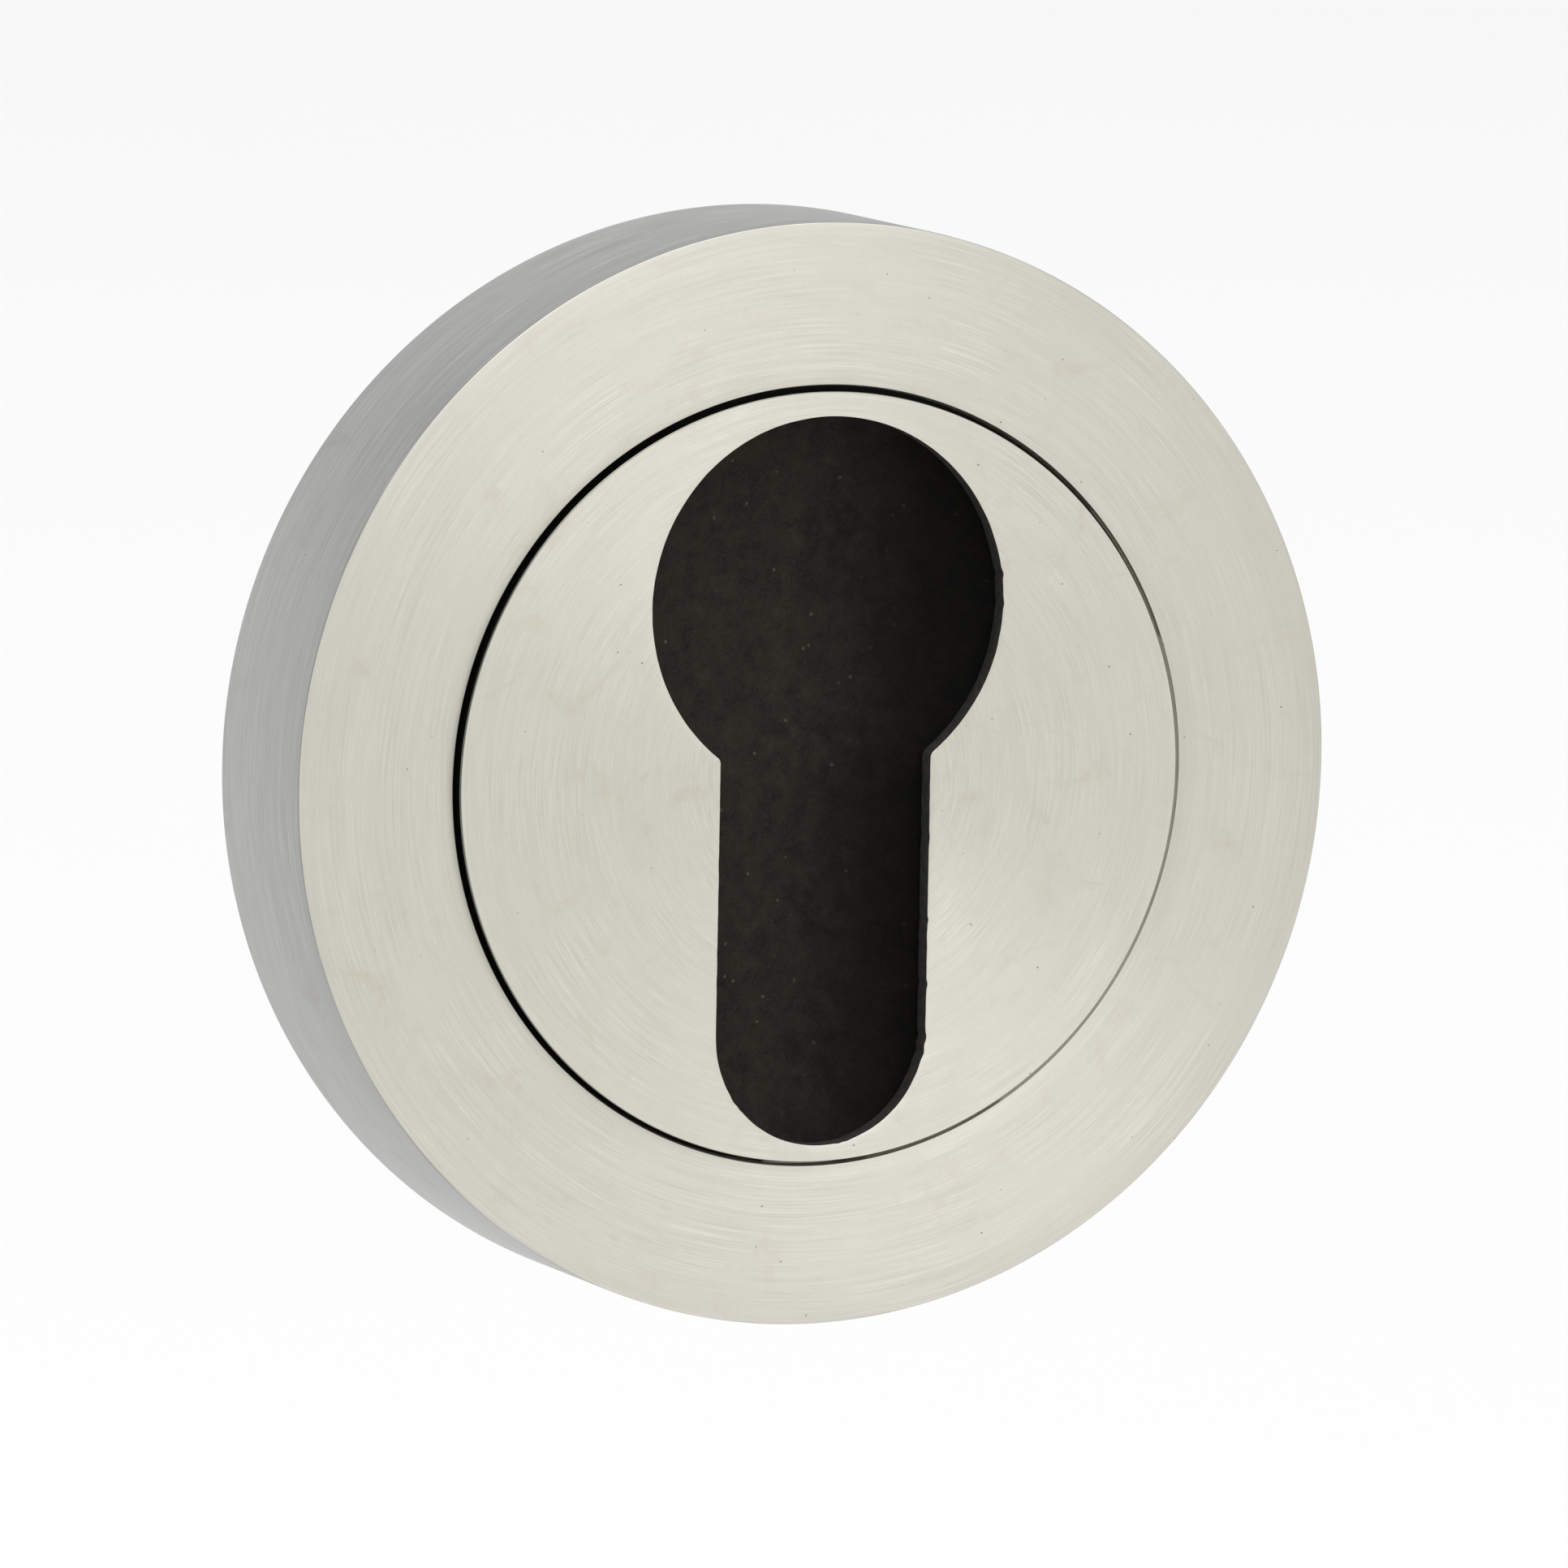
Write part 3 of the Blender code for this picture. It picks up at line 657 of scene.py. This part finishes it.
def fill_between(bm, rings):
    """Flat face between closed rings of vertices."""
    edges = []
    for ring in rings:
        for i, vertex in enumerate(ring):
            other = ring[(i + 1) % len(ring)]
            edges.append(bm.edges.get((vertex, other)) or bm.edges.new((vertex, other)))
    bmesh.ops.triangle_fill(bm, use_beauty=True, use_dissolve=False, edges=edges)


def rolled(low, high, roll_low, roll_high, sign, steps=5):
    """Rows for a plate's edge wall from its low face to its high face, both corners round.

    sign is +1 on a hole, whose faces lie outwards of it, and -1 on the outer edge.
    """
    rows = [(sign * (roll_low + SUPPORT), low)]
    for i in range(steps + 1):
        a = math.radians(90 * i / steps)
        rows.append((sign * roll_low * (1 - math.sin(a)), low + roll_low * (1 - math.cos(a))))
    for i in range(steps + 1):
        a = math.radians(90 * i / steps)
        rows.append((sign * roll_high * (1 - math.cos(a)), high - roll_high * (1 - math.sin(a))))
    rows.append((sign * (roll_high + SUPPORT), high))
    return rows


# ---------------------------------------------------------------- pieces

def make_cover_ring(material):
    """Shell turned from the CAD box: side wall, front lip and rounded edges."""
    low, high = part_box("cover_ring")
    outer = (high.x - low.x) / 2
    front = -low.y
    inner = outer - COVER_WALL
    under = front - LIP_T
    rim_out = front - RIM_DROP - RIM_ROUND
    rim_r = outer - WALL_DROP - RIM_ROUND
    lip_out = front - LIP_DROP
    profile = [(outer, BACK_ROUND + SUPPORT), (outer, WALL_SLOPE_OUT)]
    profile += sag((outer, WALL_SLOPE_OUT), (outer - WALL_DROP, rim_out), "out")
    profile += arc((rim_r, rim_out), RIM_ROUND, 0, 90, 5)[1:]
    profile += sag((RIM_SLOPE_R, front), (rim_r, front - RIM_DROP), "radius")[-2::-1]
    profile += [(RIM_SLOPE_R, front), (LIP_SLOPE_R, front)]
    profile += sag((LIP_SLOPE_R, front), (LIP_HOLE_R + LIP_ROUND, lip_out), "radius")
    profile += arc((LIP_HOLE_R + LIP_ROUND, lip_out - LIP_ROUND), LIP_ROUND, 90, 180, 8)[1:]
    wall_r = LIP_HOLE_R - LIP_FLARE
    profile += [(wall_r, front - LIP_FLARE_DEEP), (wall_r, under), (inner, under),
                (inner, BACK_ROUND)]
    profile += arc((inner + BACK_ROUND, BACK_ROUND), BACK_ROUND, 180, 270, 4)[1:]
    profile += arc((outer - BACK_ROUND, BACK_ROUND), BACK_ROUND, 270, 360, 4)

    def off_centre(radius):
        """The hole's front edge is off the axis, its wall less, the rest not at all."""
        share = (LIP_SLOPE_R - radius) / (LIP_SLOPE_R - LIP_HOLE_R - LIP_ROUND)
        share = min(1.0, max(0.0, share))
        if radius < LIP_HOLE_R - LIP_FLARE / 2:
            share = LIP_WALL_SHARE
        return LIP_HOLE_X * share, LIP_HOLE_Z * share

    ring = turn("cover_ring_shell", profile, RING_STEPS, material, off_centre)
    swap(ring, "cover_ring", "cover")


def punched_wobble(outline):
    """Small unevenness along the punched edge, the same on every run."""
    dice = random.Random(EDGE_SEED)
    waves = [(dice.uniform(*EDGE_WAVE_RANGE), dice.uniform(0, 2 * math.pi))
             for _ in range(EDGE_WAVES)]
    nicks = []
    for _ in range(NICKS):
        x, z, _, _ = outline[dice.randrange(len(outline) // 2)]
        nicks.append((x, z, dice.uniform(*NICK_WIDE) * MM, dice.uniform(*NICK_DEEP) * MM))
    offsets = []
    for x, z, _, _ in outline:
        s = (x + EDGE_WAVE_SLANTS[0] * z) / MM
        t = (z + EDGE_WAVE_SLANTS[1] * x) / MM
        value = sum(math.sin(w * s + p) + math.sin(EDGE_WAVE_FASTER * w * t + 2 * p)
                    for w, p in waves)
        offset = value / (2 * len(waves)) * EDGE_WOBBLE
        for nick_x, nick_z, wide, deep in nicks:
            away = ((x - nick_x) ** 2 + (z - nick_z) ** 2) / wide ** 2
            offset += deep * math.exp(-away)
        offsets.append(offset)
    return offsets


def add_stud(bm, x, z, foot, root):
    """Welded stud with a bevelled foot and a fillet where it meets the disc."""
    rows = [(-STUD_R + SUPPORT, foot), (-STUD_BEVEL, foot), (0.0, foot + STUD_BEVEL)]
    rows += [(STUD_FILLET * (1 - math.cos(math.radians(a))),
              root - STUD_FILLET * (1 - math.sin(math.radians(a)))) for a in range(0, 91, 15)]
    made = loop_rows(bm, circle_outline(STUD_R, STUD_SIDES, (x, z)), rows)
    bm.faces.new(made[0])
    bm.faces.new(made[-1])


def make_face_disc(material, cut_edge, turned_edge):
    """Punched disc with the keyed hole, a bevelled front edge and its four studs."""
    low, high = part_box("face_disc")
    centre_x = (low.x + high.x) / 2
    centre_z = (low.z + high.z) / 2
    radius = (high.x - low.x) / 2
    top = -low.y
    bottom = top - DISC_T
    bm = bmesh.new()
    rim = circle_outline(radius, RING_STEPS)
    key = [(x + KEY_SHIFT, z, nx, nz) for x, z, nx, nz in key_outline(0.0, KEY_STEP)]
    shoulder = top - DISC_BEVEL_DOWN
    rim_profile = rolled(bottom, top, DISC_LOW_ROUND, DISC_LOW_ROUND, -1)
    rim_profile = rim_profile[:len(rim_profile) // 2]
    rim_profile += [(0.0, shoulder - 2 * EDGE_NOTCH_DEEP),
                    (-EDGE_NOTCH_DEEP, shoulder - EDGE_NOTCH_DEEP), (0.0, shoulder),
                    (-DISC_BEVEL_IN, top), (-DISC_BEVEL_IN - SUPPORT, top)]
    rim_rows = loop_rows(bm, rim, rim_profile)
    edge_faces = set(bm.faces)
    sagged = sag((KEY_SAG_WIDE, top), (KEY_BURR, top - KEY_SAG), "radius")
    key_profile = rolled(bottom, top - KEY_SAG, KEY_BURR, KEY_BURR, 1)[:-1]
    key_profile += sagged[-2::-1] + [(KEY_SAG_WIDE, top), (KEY_SAG_WIDE + SUPPORT, top)]
    key_rows = loop_rows(bm, key, key_profile, punched_wobble(key))
    for face in bm.faces:
        out = -face.calc_center_median().y
        if face in edge_faces:
            face.material_index = 2 if out < top - FLAT_FACE else 0
        else:
            face.material_index = 1 if out < top - KEY_SAG - KEY_BURR / 2 else 0
    fill_between(bm, (rim_rows[0], key_rows[0]))
    fill_between(bm, (rim_rows[-1], key_rows[-1]))
    foot = -high.y
    for place_x, place_z in STUD_PLACES:
        add_stud(bm, place_x * MM, place_z * MM, foot, bottom)
    bmesh.ops.translate(bm, verts=bm.verts, vec=(centre_x, 0.0, centre_z))
    disc = piece_from(bm, "face_disc_punched", material)
    disc.data.materials.append(cut_edge)
    disc.data.materials.append(turned_edge)
    swap(disc, "face_disc", "insert")


def swap(obj, node, body):
    """Let a piece stand for a CAD node."""
    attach(obj, body)
    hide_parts(node)


def make_push_nut(number, material):
    """Dished spring-steel washer, slit into teeth that grip the stud."""
    low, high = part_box(f"push_nut_{number}")
    x = (low.x + high.x) / 2
    z = (low.z + high.z) / 2
    outer = (high.x - low.x) / 2
    front = -low.y
    dish = high.y - low.y - NUT_T
    bm = bmesh.new()
    rings = []
    for k in range(NUT_STEPS):
        a = 2 * math.pi * k / NUT_STEPS
        tooth = math.cos(NUT_TEETH * a) > NUT_SLIT_FROM
        inner = NUT_TOOTH_R if tooth else NUT_EYE_R
        corners = []
        for r, lift in ((inner, 0.0), (inner, NUT_T), (outer, NUT_T), (outer, 0.0)):
            fall = dish * (1.0 - (r - inner) / (outer - inner)) if r < outer else 0.0
            out = front - NUT_T + lift - fall
            corners.append(bm.verts.new(to_row(x + r * math.cos(a), z + r * math.sin(a), out)))
        rings.append(corners)
    for k, here in enumerate(rings):
        there = rings[(k + 1) % NUT_STEPS]
        for i in range(4):
            j = (i + 1) % 4
            bm.faces.new((here[i], here[j], there[j], there[i]))
    nut = piece_from(bm, f"push_nut_{number}_toothed", material, 30.0)
    swap(nut, f"push_nut_{number}", "insert")


def make_gasket(material):
    """Soft foam ring with a keyed opening and two bores, all edges rounded."""
    low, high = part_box("door_gasket")
    radius = (high.x - low.x) / 2
    screw_x = (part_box("fixing_screw_right")[0].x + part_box("fixing_screw_right")[1].x) / 2
    bm = bmesh.new()
    back, front = -high.y, -low.y
    key = key_outline(GASKET_GROW, GASKET_STEP)
    loops = [loop_rows(bm, circle_outline(radius, RING_STEPS // 2),
                       rolled(back, front, GASKET_ROUND, GASKET_ROUND, -1))]
    loops.append(loop_rows(bm, key, rolled(back, front, GASKET_ROUND, GASKET_ROUND, 1)))
    for side in (-1, 1):
        bore = circle_outline(GASKET_BORE_R, GASKET_BORE_SIDES, (side * screw_x, 0.0))
        loops.append(loop_rows(bm, bore, rolled(back, front, GASKET_ROUND, GASKET_ROUND, 1)))
    fill_between(bm, [rows[0] for rows in loops])
    fill_between(bm, [rows[-1] for rows in loops])
    gasket = piece_from(bm, "door_gasket_foam", material)
    swap(gasket, "door_gasket", "base")


def make_o_ring(material):
    """Ring of round section."""
    low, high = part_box("o_ring")
    section = (high.y - low.y) / 2
    centre = ((high.x - low.x) / 2 - section, -(low.y + high.y) / 2)
    circle = arc(centre, section, 0, -360, O_RING_SIDES)[:-1]
    ring = turn("o_ring_round", circle, RING_STEPS // 2, material)
    swap(ring, "o_ring", "base")


def make_wave_spring(material):
    """Flat strip ring with rounded edges, bent into waves."""
    low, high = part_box("wave_spring")
    outer = (high.x - low.x) / 2
    middle = -(low.y + high.y) / 2
    swing = (high.y - low.y - SPRING_T) / 2
    half = SPRING_T / 2
    edge = half * SPRING_EDGE
    section = []
    for r, sign in ((outer, 1), (outer - SPRING_WIDTH, -1)):
        start = -90 if sign > 0 else 90
        section += arc((r - sign * edge, 0.0), edge, start, start + 180, 6)
    section = [(r, out * half / edge) for r, out in section]
    ring = turn("wave_spring_strip", section, SPRING_STEPS, material)
    for vertex in ring.data.vertices:
        a = math.atan2(vertex.co.z, vertex.co.x)
        vertex.co.y -= middle + swing * math.cos(SPRING_WAVES * a)
    swap(ring, "wave_spring", "insert")


def cut_away(obj, cutter):
    """Take the cutter's volume out of obj, and remove the cutter."""
    modifier = obj.modifiers.new("cut", "BOOLEAN")
    modifier.operation = "DIFFERENCE"
    modifier.solver = "EXACT"
    modifier.object = cutter
    bpy.context.view_layer.update()
    depsgraph = bpy.context.evaluated_depsgraph_get()
    mesh = bpy.data.meshes.new_from_object(obj.evaluated_get(depsgraph))
    obj.modifiers.clear()
    obj.data = mesh
    bpy.data.objects.remove(cutter, do_unlink=True)
    mesh.shade_smooth()
    mesh.set_sharp_from_angle(angle=math.radians(35))


def drive_blade(x, z, span_x, span_z, head_out, material):
    """Cutter for one blade of a cross recess, narrower towards its floor."""
    bm = bmesh.new()
    bmesh.ops.create_cube(bm, size=1.0)
    for vertex in bm.verts:
        deep = vertex.co.z < 0
        narrow = DRIVE_NARROW if deep else DRIVE_WIDE
        out = head_out - DRIVE_DEPTH if deep else head_out + DRIVE_OVERCUT
        vertex.co = to_row(x + vertex.co.x * span_x * narrow, z + vertex.co.y * span_z * narrow,
                           out)
    return piece_from(bm, "drive_cutter", material)


def make_fixing_screw(side, material):
    """Countersunk wood screw: cross recess, neck, coarse thread and a sharp point."""
    low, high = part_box(f"fixing_screw_{side}")
    x = (low.x + high.x) / 2
    head_r = (high.x - low.x) / 2
    top, tip = -low.y, -high.y
    neck_top = top - SCREW_HEAD_RIM - SCREW_HEAD_T
    thread_top = tip + SCREW_THREAD_LENGTH
    round_top = head_r * SCREW_HEAD_ROUND
    levels = [(head_r * SCREW_HEAD_FLAT, top), (head_r - round_top, top),
              (head_r, top - round_top)]
    levels += [(head_r, top - SCREW_HEAD_RIM), (SCREW_NECK_R, neck_top)]
    levels += [(SCREW_NECK_R, thread_top + SCREW_PITCH)]
    rows = [[(r, out)] * SCREW_SIDES for r, out in levels]
    count = round((thread_top + SCREW_PITCH - tip) / SCREW_PITCH * SCREW_ROWS_PER_PITCH)
    for i in range(1, count + 1):
        out = thread_top + SCREW_PITCH - (thread_top + SCREW_PITCH - tip) * i / count
        taper = min(1.0, (out - tip) / SCREW_POINT)
        start = min(1.0, (thread_top + SCREW_PITCH - out) / SCREW_PITCH)
        row = []
        for k in range(SCREW_SIDES):
            phase = (out / SCREW_PITCH - k / SCREW_SIDES) % 1.0
            crest = max(0.0, 1.0 - abs(phase - 0.5) / SCREW_CREST)
            core = SCREW_CORE_R + (SCREW_NECK_R - SCREW_CORE_R) * (1.0 - start)
            r = core + (SCREW_MAJOR_R - core) * crest * start
            row.append((max(r * taper ** SCREW_TAPER, SCREW_TIP_R), out))
        rows.append(row)
    bm = bmesh.new()
    made = []
    for row in rows:
        made.append([bm.verts.new(to_row(x + r * math.cos(2 * math.pi * k / SCREW_SIDES),
                                         r * math.sin(2 * math.pi * k / SCREW_SIDES), out))
                     for k, (r, out) in enumerate(row)])
    for here, there in zip(made, made[1:]):
        for k in range(SCREW_SIDES):
            j = (k + 1) % SCREW_SIDES
            bm.faces.new((here[k], here[j], there[j], there[k]))
    bm.faces.new(made[0])
    bm.faces.new(made[-1])
    screw = piece_from(bm, f"fixing_screw_{side}_threaded", material, 35.0)
    for spans in ((DRIVE_SPAN, DRIVE_BLADE), (DRIVE_BLADE, DRIVE_SPAN)):
        cut_away(screw, drive_blade(x, 0.0, *spans, top, material))
    swap(screw, f"fixing_screw_{side}", "base")


def key_half_width(z, grow):
    """Half the width of the euro-profile hole at a height, moved outwards by grow."""
    circle = (KEY_CIRCLE_R + grow) ** 2 - (z - KEY_CIRCLE_Z) ** 2
    foot = (KEY_SLOT_HALF + grow) ** 2 - min(z - KEY_FOOT_Z, 0.0) ** 2
    slot = foot if z < KEY_CIRCLE_Z else 0.0
    return math.sqrt(max(circle, slot, 0.0))


def make_card(material):
    """Bent black card inside the carrier's collar, behind the keyed hole: part of the stage."""
    bottom = KEY_FOOT_Z - KEY_SLOT_HALF - CARD_GROW
    top = KEY_CIRCLE_Z + KEY_CIRCLE_R + CARD_GROW
    widest = KEY_CIRCLE_R + CARD_GROW
    bm = bmesh.new()
    rows = []
    for i in range(CARD_ROWS + 1):
        z = top + (bottom - top) * (1 - math.cos(math.pi * i / CARD_ROWS)) / 2
        half = key_half_width(z, CARD_GROW)
        row = []
        for j in range(CARD_COLUMNS + 1):
            across = 2 * j / CARD_COLUMNS - 1
            out = CARD_EDGE - CARD_DISH * half / widest * (1 - across ** 2)
            row.append(bm.verts.new(to_row(KEY_SHIFT + half * across, z, out)))
        rows.append(row)
    for here, there in zip(rows, rows[1:]):
        for j in range(CARD_COLUMNS):
            bm.faces.new((here[j], here[j + 1], there[j + 1], there[j]))
    card = piece_from(bm, "stage_card", material)


def make_floor(material):
    """Wide floor below the object, unseen in its metal: part of the stage."""
    bm = bmesh.new()
    height = cad_low.z - FLOOR_DROP
    bmesh.ops.create_grid(bm, x_segments=8, y_segments=8, size=FLOOR_HALF)
    bmesh.ops.translate(bm, verts=bm.verts, vec=(0.0, 0.0, height))
    floor = piece_from(bm, "stage_floor", material)
    floor.visible_glossy = False


def paint(node, material):
    """Give a CAD node a better material."""
    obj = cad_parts[node]
    obj.data.materials.clear()
    obj.data.materials.append(material)


# ---------------------------------------------------------------- light and camera

def make_world():
    """Soft studio surroundings, as broad panels of light and shade seen in the metal."""
    world = bpy.data.worlds.new("studio")
    world.use_nodes = True
    bpy.context.scene.world = world
    tree = world.node_tree
    background = tree.nodes["Background"]
    direction = add_node(tree, "ShaderNodeTexCoord").outputs["Generated"]
    light = ROOM_COLOUR
    for toward, outer, inner, colour in PANELS:
        facing = vector_maths(tree, "DOT_PRODUCT", direction, tuple(Vector(toward).normalized()))
        share = map_range(tree, facing, math.cos(math.radians(outer)),
                          math.cos(math.radians(inner)), smooth=True)
        light = mix_colour(tree, share, light, colour)
    seen = add_node(tree, "ShaderNodeLightPath").outputs["Is Camera Ray"]
    tree.links.new(mix_colour(tree, seen, light, SEEN_SKY), background.inputs["Color"])
    background.inputs["Strength"].default_value = 1.0


def make_camera():
    """The camera, at the photograph's viewing angle."""
    camera = bpy.data.cameras.new("camera")
    camera.lens = CAMERA_LENS
    camera.sensor_width = SENSOR_WIDTH
    camera.clip_start = 0.01
    camera.clip_end = 100.0
    obj = bpy.data.objects.new("camera", camera)
    bpy.context.scene.collection.objects.link(obj)
    azimuth = math.radians(CAMERA_AZIMUTH)
    elevation = math.radians(CAMERA_ELEVATION)
    back = Vector((math.sin(azimuth) * math.cos(elevation),
                   -math.cos(azimuth) * math.cos(elevation), math.sin(elevation)))
    aim = Vector((CAMERA_AIM_X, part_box("cover_ring")[0].y + CAMERA_AIM_IN, CAMERA_AIM_Z))
    level = back.to_track_quat("Z", "Y").to_matrix().to_4x4()
    roll = Matrix.Rotation(math.radians(CAMERA_ROLL), 4, "Z")
    obj.matrix_world = Matrix.Translation(aim + back * CAMERA_DISTANCE) @ level @ roll
    bpy.context.scene.camera = obj


def main():
    """Build the looks, the stage, the light and the camera."""
    steel_ring = brushed_steel("ring_steel", RING_TINT, RING_STREAKS, 0.0)
    steel_disc = brushed_steel("disc_steel", DISC_TINT, DISC_STREAKS, DISC_SEED)
    zinc = plain_detail("cast_zinc", *CAST_ZINC)
    nylon = plain_detail("nylon", *NYLON)
    foam = plain_detail("foam", *FOAM)
    rubber = plain_detail("rubber", *RUBBER)
    spring = plain_detail("spring_steel", *SPRING_STEEL)
    cut = plain_detail("cut_edge", *CUT_EDGE)
    turned = plain_detail("turned_edge", *TURNED_EDGE)
    plated = plain_detail("zinc_plate", *ZINC_PLATE)

    make_cover_ring(steel_ring)
    make_face_disc(steel_disc, cut, turned)
    for node in ("base_plate", "threaded_liner"):
        paint(node, zinc)
    paint("disc_carrier", nylon)
    make_gasket(foam)
    make_o_ring(rubber)
    for number in range(1, 5):
        make_push_nut(number, spring)
    make_wave_spring(spring)
    for side in ("left", "right"):
        make_fixing_screw(side, plated)

    make_card(black_card())
    make_floor(floor_material())
    make_world()
    make_camera()
    scene = bpy.context.scene
    scene.view_settings.view_transform = "Standard"
    scene.view_settings.look = "None"


main()
